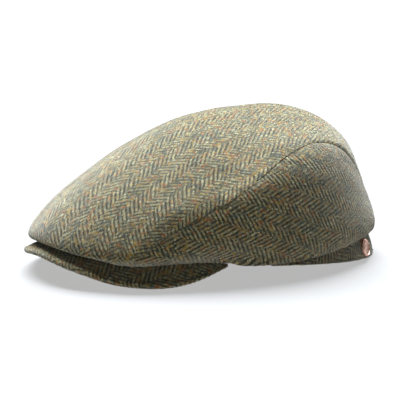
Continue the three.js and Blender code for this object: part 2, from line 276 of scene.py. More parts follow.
def seam_place(angle):
    rows = len(SEAM_PLACE) - 1
    place = (fold(angle) - SEAM_START) / (BACK - SEAM_START) * rows
    ahead = 2 * SEAM_PLACE[0] - SEAM_PLACE[1]
    first = spline(ahead, SEAM_PLACE[0], SEAM_PLACE[1], SEAM_PLACE[2], np.clip(place, 0, 1))
    return np.where(place < 1, first, along(SEAM_PLACE, place, True))


ANGLE_STEP = 0.25
PLACE_STEP = 0.002


def seam_margin(angle):
    """Half the seam gap, square to the seam, as a share of the way up."""
    place = seam_place(angle)
    around = (crown(angle + ANGLE_STEP, place) - crown(angle - ANGLE_STEP, place)) / (2 * ANGLE_STEP)
    low, high = np.maximum(place - PLACE_STEP, 0), np.minimum(place + PLACE_STEP, 1)
    up = (crown(angle, high) - crown(angle, low)) / (high - low)[..., None]
    run = around + up * ((seam_place(angle + ANGLE_STEP) - place) / ANGLE_STEP)[..., None]
    crossing = np.linalg.norm(np.cross(up, run), axis=-1)
    return SEAM_GAP / 2 * np.linalg.norm(run, axis=-1) / crossing


def value_noise(x, y, seed):
    """Smooth noise from -1 to 1 on a unit lattice."""
    random = np.random.default_rng(seed).uniform(-1, 1, (256, 256))
    column, row = np.floor(x).astype(int), np.floor(y).astype(int)
    across, up = smooth(x - column), smooth(y - row)

    def read(c, r):
        return random[(column + c) % 256, (row + r) % 256]

    low = read(0, 0) * (1 - across) + read(1, 0) * across
    high = read(0, 1) * (1 - across) + read(1, 1) * across
    return low * (1 - up) + high * up


def twill_height(run, across):
    """Height of the twill's ridges, from -1 to 1. run is along the herringbone's columns."""
    column = np.floor(across / COLUMN)
    inside = across - column * COLUMN
    odd = column % 2
    step = np.where(odd == 1, COLUMN - inside + 2 * YARN, inside)
    ridge = np.cos(2 * math.pi * (run + step) / (4 * YARN))
    edge = np.minimum(inside, COLUMN - inside)
    return ridge * smooth(edge / (0.9 * YARN) + 0.2) - 0.5 * np.exp(-((edge / (0.6 * YARN)) ** 2))


FLATTEN_ROUNDS = 150


def flatten(points, edges, start):
    """Lays a curved net flat, keeping the length of its edges as nearly as it can."""
    a, b = edges[:, 0], edges[:, 1]
    length = np.linalg.norm(points[a] - points[b], axis=1)
    weight = 1 / np.maximum(length, 1e-3)
    count = len(points)
    stiffness = np.zeros((count, count))
    np.add.at(stiffness, (a, a), weight)
    np.add.at(stiffness, (b, b), weight)
    np.add.at(stiffness, (a, b), -weight)
    np.add.at(stiffness, (b, a), -weight)
    inverse = np.linalg.inv(stiffness + TINY * np.eye(count))
    flat = start.copy()
    for _ in range(FLATTEN_ROUNDS):
        pull = flat[a] - flat[b]
        pull *= (weight * length / np.maximum(np.linalg.norm(pull, axis=1), 1e-9))[:, None]
        load = np.zeros((count, 2))
        np.add.at(load, a, pull)
        np.add.at(load, b, -pull)
        flat = inverse @ load
    return flat


def disc(angle, place):
    """Places on the crown as points of a disc, so that they can be mixed across its middle."""
    turn = np.radians(angle)
    return np.stack([(1 - place) * np.sin(turn), -(1 - place) * np.cos(turn)], -1)


def from_disc(spot):
    return np.degrees(np.arctan2(spot[..., 0], -spot[..., 1])), 1 - np.hypot(spot[..., 0], spot[..., 1])


def wheel(degrees):
    """The matrix that turns flat places."""
    turn = math.radians(degrees)
    return np.array([[math.cos(turn), -math.sin(turn)], [math.sin(turn), math.cos(turn)]])


class Panel:
    """A cloth panel: a coarse net of places on the crown, and the same net laid flat."""

    def __init__(self, spots, flat, triangles, rim):
        self.spots, self.triangles, self.rim = spots, triangles, rim
        self.points = crown(*from_disc(spots))
        sides = np.concatenate([triangles[:, [0, 1]], triangles[:, [1, 2]], triangles[:, [2, 0]]])
        self.flat = flatten(self.points, np.unique(np.sort(sides, axis=1), axis=0), flat)

    def turn(self, degrees):
        """Turns the flat panel so that the herringbone's columns run along its first axis."""
        self.flat = self.flat @ wheel(degrees).T


NET_STEP = 7.0
NET_LEVELS = 18
SIDE_LEVELS = 9
SIDE_MIDDLE = 0.35


def even_net(rim, inside, lay):
    """A panel of even triangles inside its rim; lay gives each point a first flat place."""
    rim_flat, inside_flat = lay(rim), lay(inside)
    gap = np.linalg.norm(inside_flat[:, None] - rim_flat[None], axis=-1).min(1)
    keep = gap > NET_STEP / 2
    places = np.vstack([rim, inside[keep]])
    flat = np.vstack([rim_flat, inside_flat[keep]])
    made = delaunay_2d_cdt(flat.tolist(), [], [list(range(len(rim)))], 1, TINY)
    origin = np.array([first[0] for first in made[3]])
    number = np.empty(len(places), int)
    number[origin] = np.arange(len(origin))
    return Panel(places[origin], flat[origin], np.array(made[2]), number[np.arange(len(rim) + 1) % len(rim)])


def top_net(angles, start):
    inside = [np.zeros((1, 2))]
    for place in (np.arange(NET_LEVELS) + 0.5) / NET_LEVELS:
        count = int(2 * math.pi * (1 - place) * HALF_LENGTH / NET_STEP)
        inside.append(disc(np.arange(count) * 2 * BACK / count, np.full(count, place)))
    inside = np.vstack(inside)
    angle, place = from_disc(inside)
    left_half = angles >= 0
    inside = inside[place > np.interp(fold(angle), angles[left_half], start[left_half])]
    return even_net(disc(angles, start), inside, lambda spot: spot * [HALF_WIDTH, HALF_LENGTH])


def side_net(angles, end):
    """A side panel, laid first by its run round the head and its rise from the lower edge."""
    low, high = disc(angles, 0 * angles), disc(angles, end)
    shut = np.linspace(0, 1, SIDE_LEVELS)[1:-1]
    rim = np.vstack([low, disc(np.full(len(shut), angles[-1]), end[-1] * shut), high[::-1]])
    middle = crown(angles, np.full(len(angles), SIDE_MIDDLE))
    run = np.concatenate([[0], np.cumsum(np.linalg.norm(np.diff(middle, axis=0), axis=1))])
    turned = angles / angles[-1]

    def lay(spot):
        angle, place = from_disc(spot)
        levels = place[:, None] * np.linspace(0, 1, SIDE_LEVELS)
        line = crown(np.repeat(angle, SIDE_LEVELS), levels.ravel()).reshape(-1, SIDE_LEVELS, 3)
        rise = np.linalg.norm(np.diff(line, axis=1), axis=-1).sum(1)
        return np.stack([np.interp(np.abs(angle) / abs(angles[-1]), turned, run), rise], -1)

    grid = np.linspace(angles[0], angles[-1], int(run[-1] / NET_STEP))[1:-1]
    level = (np.arange(NET_LEVELS) + 0.5) / NET_LEVELS
    angle, place = (side.ravel() for side in np.meshgrid(grid, level))
    kept = place < np.interp(np.abs(angle), np.abs(angles), end)
    return even_net(rim, disc(angle[kept], place[kept]), lay)


def lattice(panel, step):
    """A fine even lattice over the flat panel, aligned with the weave, its edge drawn to the rim."""
    flat, spots = panel.flat, panel.spots
    low = flat.min(0) - LATTICE_MARGIN * step[0]
    size = np.ceil((flat.max(0) + LATTICE_MARGIN * step[0] - low) / step).astype(int) + 1
    low[1] = math.floor(low[1] / step[1]) * step[1]
    found = np.zeros(size, bool)
    where = np.zeros((*size, 2))
    for a, b, c in panel.triangles:
        corners = flat[[a, b, c]]
        pa, pb, pc = corners
        area = (pb[0] - pa[0]) * (pc[1] - pa[1]) - (pb[1] - pa[1]) * (pc[0] - pa[0])
        first = np.ceil((corners.min(0) - low) / step - TINY).astype(int)
        final = np.floor((corners.max(0) - low) / step + TINY).astype(int)
        if abs(area) < SLIVER or (final < first).any():
            continue
        i, j = np.mgrid[first[0]:final[0] + 1, first[1]:final[1] + 1]
        x, y = low[0] + i * step[0], low[1] + j * step[1]
        wb = ((x - pa[0]) * (pc[1] - pa[1]) - (y - pa[1]) * (pc[0] - pa[0])) / area
        wc = ((pb[0] - pa[0]) * (y - pa[1]) - (pb[1] - pa[1]) * (x - pa[0])) / area
        inside = (wb >= -TINY) & (wc >= -TINY) & (wb + wc <= 1 + TINY)
        i, j, wb, wc = i[inside], j[inside], wb[inside], wc[inside]
        found[i, j] = True
        where[i, j] = spots[a] + wb[:, None] * (spots[b] - spots[a]) + wc[:, None] * (spots[c] - spots[a])
    cells = found[:-1, :-1] | found[1:, :-1] | found[1:, 1:] | found[:-1, 1:]
    used = np.zeros(size, bool)
    for di, dj in ((0, 0), (1, 0), (1, 1), (0, 1)):
        used[di:size[0] - 1 + di, dj:size[1] - 1 + dj] |= cells
    i, j = np.nonzero(used)
    number = -np.ones(size, int)
    number[i, j] = np.arange(len(i))
    cloth = np.stack([low[0] + i * step[0], low[1] + j * step[1]], -1)
    fringe = ~found[i, j]
    rim_flat, rim_spot = rim_line(panel, step)
    distance, nearest = near_rim(cloth, rim_flat)
    cloth = np.where(fringe[:, None], rim_flat[nearest], cloth)
    spot = np.where(fringe[:, None], rim_spot[nearest], where[i, j])
    distance = np.where(fringe, 0, distance)
    ci, cj = np.nonzero(cells)
    faces = np.stack([number[ci, cj], number[ci + 1, cj], number[ci + 1, cj + 1], number[ci, cj + 1]], -1)
    return dict(cloth=cloth, spot=spot, rim=distance, near=nearest, faces=faces)


def rim_line(panel, step):
    """The panel's edge as fine points, flat and on the crown."""
    flat, spots = panel.flat[panel.rim], panel.spots[panel.rim]
    run = np.concatenate([[0], np.cumsum(np.linalg.norm(np.diff(flat, axis=0), axis=1))])
    fine = np.arange(0, run[-1], step[0] * RIM_SHARE)
    pick = [np.interp(fine, run, column) for column in (*flat.T, *spots.T)]
    return np.stack(pick[:2], -1), np.stack(pick[2:], -1)


BATCH = 4000


def near_rim(cloth, rim):
    """For each point of the cloth, how far the rim is, and the number of the nearest rim point."""
    distance = np.empty(len(cloth))
    nearest = np.empty(len(cloth), int)
    for first in range(0, len(cloth), BATCH):
        part = slice(first, first + BATCH)
        gap = ((cloth[part, None] - rim[None]) ** 2).sum(-1)
        nearest[part] = gap.argmin(1)
        distance[part] = np.sqrt(gap.min(1))
    return distance, nearest


def face_normals(points, faces):
    across = points[faces[:, 2]] - points[faces[:, 0]]
    other = points[faces[:, 3]] - points[faces[:, 1]]
    return np.cross(across, other)


def vertex_normals(points, faces):
    normal = face_normals(points, faces)
    total = np.zeros_like(points)
    for corner in range(4):
        np.add.at(total, faces[:, corner], normal)
    return total / np.maximum(np.linalg.norm(total, axis=1), 1e-12)[:, None]


def boundary_edges(faces):
    """Edges used by one face only, in that face's direction."""
    sides = np.concatenate([faces[:, [0, 1]], faces[:, [1, 2]], faces[:, [2, 3]], faces[:, [3, 0]]])
    sides = sides[sides[:, 0] != sides[:, 1]]
    key = np.sort(sides, axis=1)
    _, inverse, count = np.unique(key, axis=0, return_inverse=True, return_counts=True)
    return sides[count[inverse.ravel()] == 1]


def build(name, points, faces, cloth, material):
    """Makes the mesh object from points and flat cloth places, both in millimetres."""
    mesh = bpy.data.meshes.new(name)
    mesh.vertices.add(len(points))
    mesh.vertices.foreach_set("co", ((points + SHIFT) * MM).astype(np.float32).ravel())
    sizes = np.array([len(face) for face in faces])
    loops = np.concatenate(faces)
    mesh.loops.add(len(loops))
    mesh.polygons.add(len(faces))
    mesh.polygons.foreach_set("loop_start", np.concatenate([[0], np.cumsum(sizes)[:-1]]))
    mesh.loops.foreach_set("vertex_index", loops)
    mesh.update(calc_edges=True)
    layer = mesh.uv_layers.new(name="cloth")
    layer.data.foreach_set("uv", (cloth[loops] * MM).astype(np.float32).ravel())
    mesh.polygons.foreach_set("use_smooth", np.full(len(faces), True))
    mesh.validate()
    made = bpy.data.objects.new(name, mesh)
    bpy.context.scene.collection.objects.link(made)
    made.data.materials.append(material)
    return made


class Shader:
    """A material's nodes, made one after another."""

    def __init__(self, name):
        self.material = bpy.data.materials.new(name)
        self.material.use_nodes = True
        self.tree = self.material.node_tree
        self.principled = self.tree.nodes["Principled BSDF"]

    def node(self, kind, values=None, **settings):
        made = self.tree.nodes.new(kind)
        for key, value in settings.items():
            setattr(made, key, value)
        for key, value in (values or {}).items():
            self.put(made.inputs[key], value)
        return made

    def put(self, socket, value):
        if isinstance(value, bpy.types.NodeSocket):
            self.tree.links.new(value, socket)
        else:
            socket.default_value = value

    def surface(self, **values):
        """Sets the surface's own sockets, named with underscores for spaces."""
        for key, value in values.items():
            self.put(self.principled.inputs[key.replace("_", " ")], value)

    def math(self, operation, first, second=0.0):
        return self.node("ShaderNodeMath", {0: first, 1: second}, operation=operation).outputs[0]

    def add(self, first, second):
        return self.math("ADD", first, second)

    def times(self, first, second):
        return self.math("MULTIPLY", first, second)

    def centred(self, value, size):
        """A value from 0 to 1 as one of that size about zero."""
        return self.times(self.math("SUBTRACT", value, 0.5), size)

    def hump(self, line):
        """A round rise and fall over each unit of the line."""
        return self.math("SINE", self.times(self.math("FRACT", line), math.pi))

    def chance(self, x, y):
        return self.node("ShaderNodeTexWhiteNoise", {"Vector": self.vector(x, y)}).outputs["Value"]

    def mix(self, share, first, second):
        made = self.node("ShaderNodeMix", data_type="RGBA")
        self.put(made.inputs[0], share)
        self.put(made.inputs[6], first)
        self.put(made.inputs[7], second)
        return made.outputs[2]

    def multiply(self, first, second):
        made = self.node("ShaderNodeMix", {0: 1.0}, data_type="RGBA", blend_type="MULTIPLY")
        self.put(made.inputs[6], first)
        self.put(made.inputs[7], second)
        return made.outputs[2]

    def blend(self, share, first, second):
        made = self.node("ShaderNodeMix", {0: share, 2: first, 3: second}, data_type="FLOAT")
        return made.outputs[0]

    def vector(self, x, y, z=0.0):
        return self.node("ShaderNodeCombineXYZ", {0: x, 1: y, 2: z}).outputs[0]

    def noise(self, vector, scale, detail=2.0, rough=0.5):
        values = {"Vector": vector, "Scale": scale, "Detail": detail, "Roughness": rough}
        return self.node("ShaderNodeTexNoise", values).outputs["Fac"]

    def ramp(self, value, stops):
        made = self.node("ShaderNodeValToRGB", {0: value})
        line = made.color_ramp
        while len(line.elements) < len(stops):
            line.elements.new(0.5)
        for element, (place, colour) in zip(line.elements, stops):
            element.position = place
            element.color = (*colour, 1)
        return made.outputs[0]


# Wool colours, linear light: place on the yarn's own noise, then colour.
LIGHT_YARN = [
    (0.26, (0.085, 0.12, 0.12)),
    (0.36, (0.165, 0.195, 0.16)),
    (0.44, (0.27, 0.268, 0.19)),
    (0.5, (0.21, 0.17, 0.045)),
    (0.55, (0.36, 0.37, 0.3)),
    (0.6, (0.13, 0.16, 0.13)),
    (0.66, (0.26, 0.17, 0.05)),
    (0.73, (0.22, 0.075, 0.02)),
]
DARK_YARN = [
    (0.3, (0.006, 0.009, 0.008)),
    (0.42, (0.01, 0.008, 0.004)),
    (0.52, (0.03, 0.024, 0.009)),
    (0.56, (0.065, 0.058, 0.03)),
    (0.61, (0.06, 0.024, 0.008)),
    (0.68, (0.012, 0.01, 0.006)),
]
# Nubs of dyed wool: size in repeats a millimetre, the noise they start at, and colour.
NUBS = [
    (0.24, 0.63, (0.24, 0.085, 0.02)),
    (0.28, 0.64, (0.3, 0.2, 0.04)),
    (0.75, 0.67, (0.55, 0.52, 0.4)),
    (0.38, 0.65, (0.06, 0.1, 0.11)),
]
VEIL = (0.11, 0.108, 0.065, 1)
DYE = (1.0, 0.95, 0.76, 1)
NAP_TINT = (1.0, 0.99, 0.92, 1)
# How far the yarns wander: repeats a millimetre, then reach along and across in millimetres.
WANDER = [(0.3, 1.6, 1.0), (1.1, 1.5, 1.5)]
# Yarns in one repeat of the twill, and how the wool changes along a yarn and from yarn to yarn.
REPEAT = 4.0
WEFT_HEIGHT = 0.6
WOOL_ALONG = 0.22
WARP_STRIDE = 7.3
WEFT_STRIDE = 5.7


def weave(s, run, across):
    """Two-and-two herringbone: the yarns' numbers, whether the warp is on top, and the height."""
    warp_line = s.math("DIVIDE", across, YARN)
    weft_line = s.math("DIVIDE", run, YARN)
    warp = s.math("FLOOR", warp_line)
    weft = s.math("FLOOR", weft_line)
    column = s.math("FLOOR", s.math("DIVIDE", warp, COLUMN_YARNS))
    in_column = s.math("SUBTRACT", warp, s.times(column, COLUMN_YARNS))
    backward = s.math("SUBTRACT", COLUMN_YARNS + 1.0, in_column)
    step = s.blend(s.math("FLOORED_MODULO", column, 2.0), in_column, backward)
    stepped = s.add(weft, step)
    beat = s.math("FLOORED_MODULO", stepped, REPEAT)
    warp_up = s.math("LESS_THAN", beat, 1.5)
    along_float = s.math("DIVIDE", s.add(beat, s.math("FRACT", weft_line)), REPEAT / 2)
    warp_height = s.times(s.hump(warp_line), s.add(s.times(s.hump(along_float), 0.5), 0.5))
    height = s.blend(warp_up, s.times(s.hump(weft_line), WEFT_HEIGHT), warp_height)
    float_number = s.math("FLOOR", s.math("DIVIDE", stepped, REPEAT))
    return warp, weft, float_number, warp_up, height


def wool(s, flat, run, across, warp, weft, float_number, warp_up):
    """The colour of the yarn on top, in patches, along each yarn and from float to float."""
    patch = s.noise(flat, 0.11, 3.0, 0.6)
    warp_place = s.vector(s.times(run, WOOL_ALONG), s.times(warp, WARP_STRIDE))
    weft_place = s.vector(s.times(weft, WEFT_STRIDE), s.times(across, WOOL_ALONG), 40.0)
    warp_wool = s.add(s.noise(warp_place, 1.0, 3.0, 0.7), s.centred(patch, 0.7))
    weft_wool = s.add(s.noise(weft_place, 1.0, 3.0, 0.7), s.centred(patch, 0.5))
    warp_chance = s.chance(warp, float_number)
    weft_chance = s.chance(weft, warp)
    warp_wool = s.add(warp_wool, s.centred(warp_chance, 0.22))
    warp_tone = s.mix(warp_chance, (0.4, 0.4, 0.4, 1), (1.6, 1.6, 1.6, 1))
    weft_tone = s.mix(weft_chance, (0.5, 0.5, 0.5, 1), (1.6, 1.6, 1.6, 1))
    light = s.multiply(s.ramp(warp_wool, LIGHT_YARN), warp_tone)
    dark = s.multiply(s.ramp(weft_wool, DARK_YARN), weft_tone)
    return s.mix(warp_up, dark, light)


def tweed(name, painted_light_level=1.0):
    """Herringbone tweed woven yarn by yarn from the cloth's own flat coordinates; the last argument scales
    its brightness, as painted shade below 1 and painted light above 1.
    """
    s = Shader(name)
    place = s.node("ShaderNodeUVMap", uv_map="cloth").outputs[0]
    split = s.node("ShaderNodeSeparateXYZ", {0: place})
    run = s.times(split.outputs[0], 1 / MM)
    across = s.times(split.outputs[1], 1 / MM)
    flat = s.vector(run, across)
    shifted = s.vector(run, across, 60.0)
    for size, run_reach, across_reach in WANDER:
        run = s.add(run, s.centred(s.noise(flat, size), run_reach))
        across = s.add(across, s.centred(s.noise(shifted, size), across_reach))
    warp, weft, float_number, warp_up, height = weave(s, run, across)
    fibre = s.noise(flat, 2.6, 3.0, 0.7)
    height = s.add(height, fibre)

    cloth = wool(s, flat, run, across, warp, weft, float_number, warp_up)
    for number, (size, start, colour) in enumerate(NUBS):
        nub = s.noise(s.vector(run, across, 17.0 * number), size, 1.5, 0.5)
        shown = s.math("GREATER_THAN", s.add(nub, s.centred(fibre, 0.1)), start)
        cloth = s.mix(s.times(shown, 0.7), cloth, (*colour, 1))
    veil = s.ramp(s.noise(flat, 0.7, 4.0, 0.65), [(0.44, (0, 0, 0)), (0.7, (0.5, 0.5, 0.5))])
    cloth = s.mix(veil, cloth, VEIL)
    # Painted shade and highlight: the colour is darkened where the weave sinks and lightened on its ridges.
    weave_shade_and_highlight = s.ramp(height, [(0.2, (0.3, 0.28, 0.24)), (0.85, (1, 1, 1)), (1.35, (1.35, 1.35, 1.3))])
    cloth = s.multiply(cloth, weave_shade_and_highlight)
    # Cloudy tone that differs at random, scaled by this copy's painted light level.
    cloud = s.noise(flat, 0.045, 2.0)
    value = s.times(s.add(s.times(cloud, 0.5), 0.75), painted_light_level)
    cloth = s.node("ShaderNodeHueSaturation", {"Color": cloth, "Value": value}).outputs[0]
    bump = s.node("ShaderNodeBump", {"Strength": 1.0, "Distance": 0.4 * MM, "Height": height})
    s.surface(Base_Color=s.multiply(cloth, DYE), Roughness=0.95, Specular_IOR_Level=0.2)
    s.surface(Sheen_Weight=0.6, Sheen_Roughness=0.4, Sheen_Tint=NAP_TINT, Normal=bump.outputs[0])
    return s.material


def copper(name):
    """Pinkish copper with a mottled, slightly rough skin."""
    s = Shader(name)
    place = s.node("ShaderNodeTexCoord").outputs["Object"]
    grain = s.noise(place, 1100.0, 4.0, 0.7)
    colour = s.ramp(grain, [(0.38, (0.4, 0.13, 0.08)), (0.47, (0.78, 0.42, 0.31)), (0.6, (0.95, 0.74, 0.6))])
    bump = s.node("ShaderNodeBump", {"Strength": 0.5, "Distance": 0.15 * MM, "Height": grain})
    s.surface(Base_Color=colour, Metallic=1.0, Roughness=s.add(s.times(grain, 0.2), 0.28))
    s.surface(Normal=bump.outputs[0])
    return s.material


# One tweed in three copies: the band's is painted darker, as painted shade, and the peak's a little lighter,
# as painted light.
crown_cloth = tweed("tweed_crown")
band_cloth = tweed("tweed_band", 0.8)
peak_cloth = tweed("tweed_peak", 1.05)
button_metal = copper("button_copper")

# How the cloth dips into a seam, swells beside it and wanders, in millimetres.
SEAM_DIP = 0.8
SEAM_DIP_WIDTH = 1.1
SEAM_SWELL = 0.25
SEAM_SWELL_AT = 5.0
SEAM_SWELL_WIDTH = 3.0
PUCKER = 0.3
PUCKER_LENGTH = 8.0
PUCKER_FADE = 30.0
PUCKER_REACH = 7.0
WAVE = 1.1
WAVE_LENGTH = 42.0
WAVE_MARGIN = 12.0
RIPPLE = 0.2
RIPPLE_LENGTH = 17.0
RELIEF_MARGIN = 2.0
# The seam is nearly flat at the front, as a share of its dip, and full past these degrees.
SEAM_FRONT = 0.12
SEAM_DEEPENS = 80.0
SEAM_DEEPENS_OVER = 50.0
# The rim is sewn where it is above this share of the way up; below, the edge is turned and round.
SEWN_ABOVE = 0.012
SEWN_BULGE = 0.1
TURNED_BULGE = 0.3
RIM_STEPS = 3


def dressed_panel(panel, name, seed):
    """The panel's cloth on the crown, with its weave, seams and thickness."""
    fine = lattice(panel, LATTICE)
    angle, place = from_disc(fine["spot"])
    base = crown(angle, place)
    faces, normal = facing_out(base, fine["faces"])
    _, rim_spot = rim_line(panel, LATTICE)
    _, rim_place = from_disc(rim_spot)
    sewn = (rim_place[fine["near"]] > SEWN_ABOVE).astype(float)
    gap = fine["rim"]
    cloth = fine["cloth"]
    pucker = value_noise(fine["near"] * LATTICE[0] * RIM_SHARE / PUCKER_LENGTH, gap / PUCKER_FADE, seed)
    deepened = smooth((fold(angle) - SEAM_DEEPENS) / SEAM_DEEPENS_OVER)
    drawn_in = sewn * (SEAM_FRONT + (1 - SEAM_FRONT) * deepened)
    lift = -drawn_in * SEAM_DIP * np.exp(-((gap / SEAM_DIP_WIDTH) ** 2))
    lift += drawn_in * SEAM_SWELL * np.exp(-(((gap - SEAM_SWELL_AT) / SEAM_SWELL_WIDTH) ** 2))
    lift += sewn * PUCKER * pucker * np.exp(-gap / PUCKER_REACH)
    loose = smooth(gap / WAVE_MARGIN)
    lift += loose * WAVE * value_noise(*(cloth / WAVE_LENGTH).T, seed + 1)
    lift += loose * RIPPLE * value_noise(*(cloth / RIPPLE_LENGTH).T, seed + 2)
    lift += TWILL_RELIEF * twill_height(cloth[:, 0], cloth[:, 1]) * smooth(gap / RELIEF_MARGIN)
    shell = base + normal * lift[:, None]
    points, all_faces, flat = [shell], list(faces), [cloth]
    edges = boundary_edges(faces)
    ring = np.unique(edges)
    lookup = -np.ones(len(shell), int)
    lookup[ring] = np.arange(len(ring))
    out = base[ring] - base[neighbour_inside(faces, ring, len(base))]
    out -= (out * normal[ring]).sum(1)[:, None] * normal[ring]
    out /= np.maximum(np.linalg.norm(out, axis=1), 1e-9)[:, None]
    bulge = (SEWN_BULGE + (1 - SEWN_BULGE) * (1 - sewn[ring]))[:, None] * CLOTH * TURNED_BULGE
    total = len(shell)
    previous = ring
    for step in range(1, RIM_STEPS + 1):
        share = step / RIM_STEPS
        row = shell[ring] - normal[ring] * CLOTH * share + out * bulge * math.sin(math.pi * share)
        points.append(row)
        flat.append(cloth[ring] + share)
        current = np.arange(len(ring)) + total
        pair = lookup[edges]
        low = previous[pair]
        all_faces += list(np.stack([low[:, 1], low[:, 0], current[pair[:, 0]], current[pair[:, 1]]], -1))
        previous = current
        total += len(ring)
    inner = inner_cloth(panel)
    points.append(inner["points"])
    flat.append(inner["cloth"])
    all_faces += list(inner["faces"] + total)
    order, outer_share = loop_of(edges, fine["near"] / len(rim_place))
    inner_order, inner_share = loop_of(boundary_edges(inner["faces"]), inner["near"])
    all_faces += zipped((previous[lookup[order]], outer_share), (inner_order + total, inner_share))
    made = build(name, np.vstack(points), all_faces, np.vstack(flat), crown_cloth)
    area = np.linalg.norm(face_normals(base, faces), axis=1).sum() / 2 * MM * MM
    size = (cloth.max(0) - cloth.min(0)) * MM
    return made, size, area


def facing_out(points, faces):
    """The faces and vertex normals, turned so that they face away from the crown's middle."""
    normal = vertex_normals(points, faces)
    if (normal * (points - CROWN_MIDDLE)).sum() < 0:
        return faces[:, ::-1], -normal
    return faces, normal


def neighbour_inside(faces, ring, count):
    """For each rim vertex, the vertex opposite it in one of its faces."""
    across = np.arange(count)
    for corner in range(4):
        across[faces[:, corner]] = faces[:, (corner + 2) % 4]
    return across[ring]


def inner_cloth(panel):
    """A coarser copy of the panel one cloth thickness inside, its normals evened out."""
    coarse = lattice(panel, INNER_LATTICE)
    base = crown(*from_disc(coarse["spot"]))
    faces, normal = facing_out(base, coarse["faces"])
    around = np.zeros_like(normal)
    for corner in range(4):
        np.add.at(around, faces[:, corner], normal[faces].sum(1))
    normal = around / np.linalg.norm(around, axis=1)[:, None]
    share = coarse["near"] / (coarse["near"].max() + 1)
    return dict(points=base - normal * CLOTH, faces=faces[:, ::-1], cloth=coarse["cloth"], near=share)


def loop_of(edges, share):
    """The edge's vertices in order round the rim, from the rim line's start, and how far round each is."""
    following = dict(edges.tolist())
    order = [int(edges[0, 0])]
    while following.get(order[-1], order[0]) != order[0] and len(order) <= len(edges):
        order.append(following[order[-1]])
    order = np.array(order)
    if np.median(np.diff(share[order])) < 0:
        order = order[::-1]
    order = np.roll(order, -int(share[order].argmin()))
    return order, np.maximum.accumulate(share[order])


def zipped(first, second):
    """Triangles that join two loops, and face away from the cloth."""
    (a, a_share), (b, b_share) = first, second
    i = j = 0
    faces = []
    while i < len(a) or j < len(b):
        next_a = a_share[i + 1] if i + 1 < len(a) else 1.0 + (i >= len(a))
        next_b = b_share[j + 1] if j + 1 < len(b) else 1.0 + (j >= len(b))
        here_a, here_b = a[i % len(a)], b[j % len(b)]
        if next_a <= next_b:
            faces.append(np.array([here_a, a[(i + 1) % len(a)], here_b]))
            i += 1
        else:
            faces.append(np.array([here_a, b[(j + 1) % len(b)], here_b]))
            j += 1
    return faces


def sides_of(rows, size):
    """Quads between neighbouring rows of points, each row a closed loop."""
    index = np.arange(rows * size).reshape(rows, size)
    after = np.roll(index, -1, axis=1)
    return np.stack([index[:-1], after[:-1], after[1:], index[1:]], -1).reshape(-1, 4)


PEAK_SEED = 31
PEAK_RIPPLE_MARGIN = 8.0


def dressed_peak():
    """The peak's cloth: underside, rounded edge and top."""
    rows = 420
    columns = 66
    nose = 10
    angle = np.linspace(PEAK_END, -PEAK_END, rows)[:, None]
    reach, _ = peak_edge(angle)
    rim = on_oval(angle, reach, 0)[:, 0]
    root = on_oval(angle, 1.0, 0)[:, 0]
    outward = rim - root
    wide = np.linalg.norm(outward, axis=1)
    outward /= wide[:, None]
    thickness = peak_thickness(angle)
    radius = thickness / 2
    set_back = np.minimum(radius[:, 0], wide / 2)
    share = np.linspace(0, 1, columns)[None]
    level = peak_underside(angle, share)
    under = on_oval(angle, 1 + share * (reach - 1), level)
    under -= outward[:, None] * (set_back[:, None] * share)[..., None]
    top = under[:, ::-1].copy()
    top[..., 2] += thickness
    turn = math.pi * (np.arange(1, nose) / nose - 0.5)[None]
    middle = level[:, -1:] + radius
    round_rim = rim[:, None] + outward[:, None] * (set_back[:, None] * (np.cos(turn) - 1))[..., None]
    round_rim[..., 2] = middle + radius * np.sin(turn)
    points = np.concatenate([under, round_rim, top], axis=1)
    size = points.shape[1]
    faces = sides_of(rows, size)
    flat_points = points.reshape(-1, 3)
    normal = vertex_normals(flat_points, faces)
    if normal[size * (rows // 2) + columns // 2][2] > 0:
        faces, normal = faces[:, ::-1], -normal
    steps = np.linalg.norm(np.diff(points, axis=1), axis=-1)
    run = np.concatenate([np.zeros((rows, 1)), np.cumsum(steps, axis=1)], axis=1)
    past = run[:, columns + nose - 1:columns + nose] - run
    cloth = points[:, columns + nose - 1][:, None, :2] + outward[:, None, :2] * past[..., None]
    cloth = np.stack([-cloth[..., 1], cloth[..., 0]], -1).reshape(-1, 2)
    inside = np.minimum(run, run[:, -1:] - run).reshape(-1)
    lift = TWILL_RELIEF * twill_height(cloth[:, 0], cloth[:, 1]) * smooth(inside / RELIEF_MARGIN)
    ripple = value_noise(*(cloth / RIPPLE_LENGTH).T, PEAK_SEED)
    lift += RIPPLE * ripple * smooth(inside / PEAK_RIPPLE_MARGIN)
    flat_points = flat_points + normal * lift[:, None]
    flat_points[:, 2] = np.maximum(flat_points[:, 2], 0)
    ends = [np.arange(size), (rows - 1) * size + np.arange(size)[::-1]]
    made = build("peak_cloth", flat_points, list(faces) + ends, cloth, peak_cloth)
    area = np.linalg.norm(face_normals(points.reshape(-1, 3), faces), axis=1).sum() / 4 * MM * MM
    return made, (cloth.max(0) - cloth.min(0)) * MM, area


def band_point(angle, share):
    height = band_height(angle)
    lean = BAND_OFFSET + BAND_LEAN * (1 - share)
    return on_oval(angle, 1 + lean * height / BAND_HEIGHT, opening_rise(angle) + height * share)


BAND_PUFF = 0.9
BAND_WEAVE_FALL = 25.0
BAND_SEED = 41
BAND_RIPPLE_MARGIN = 6.0


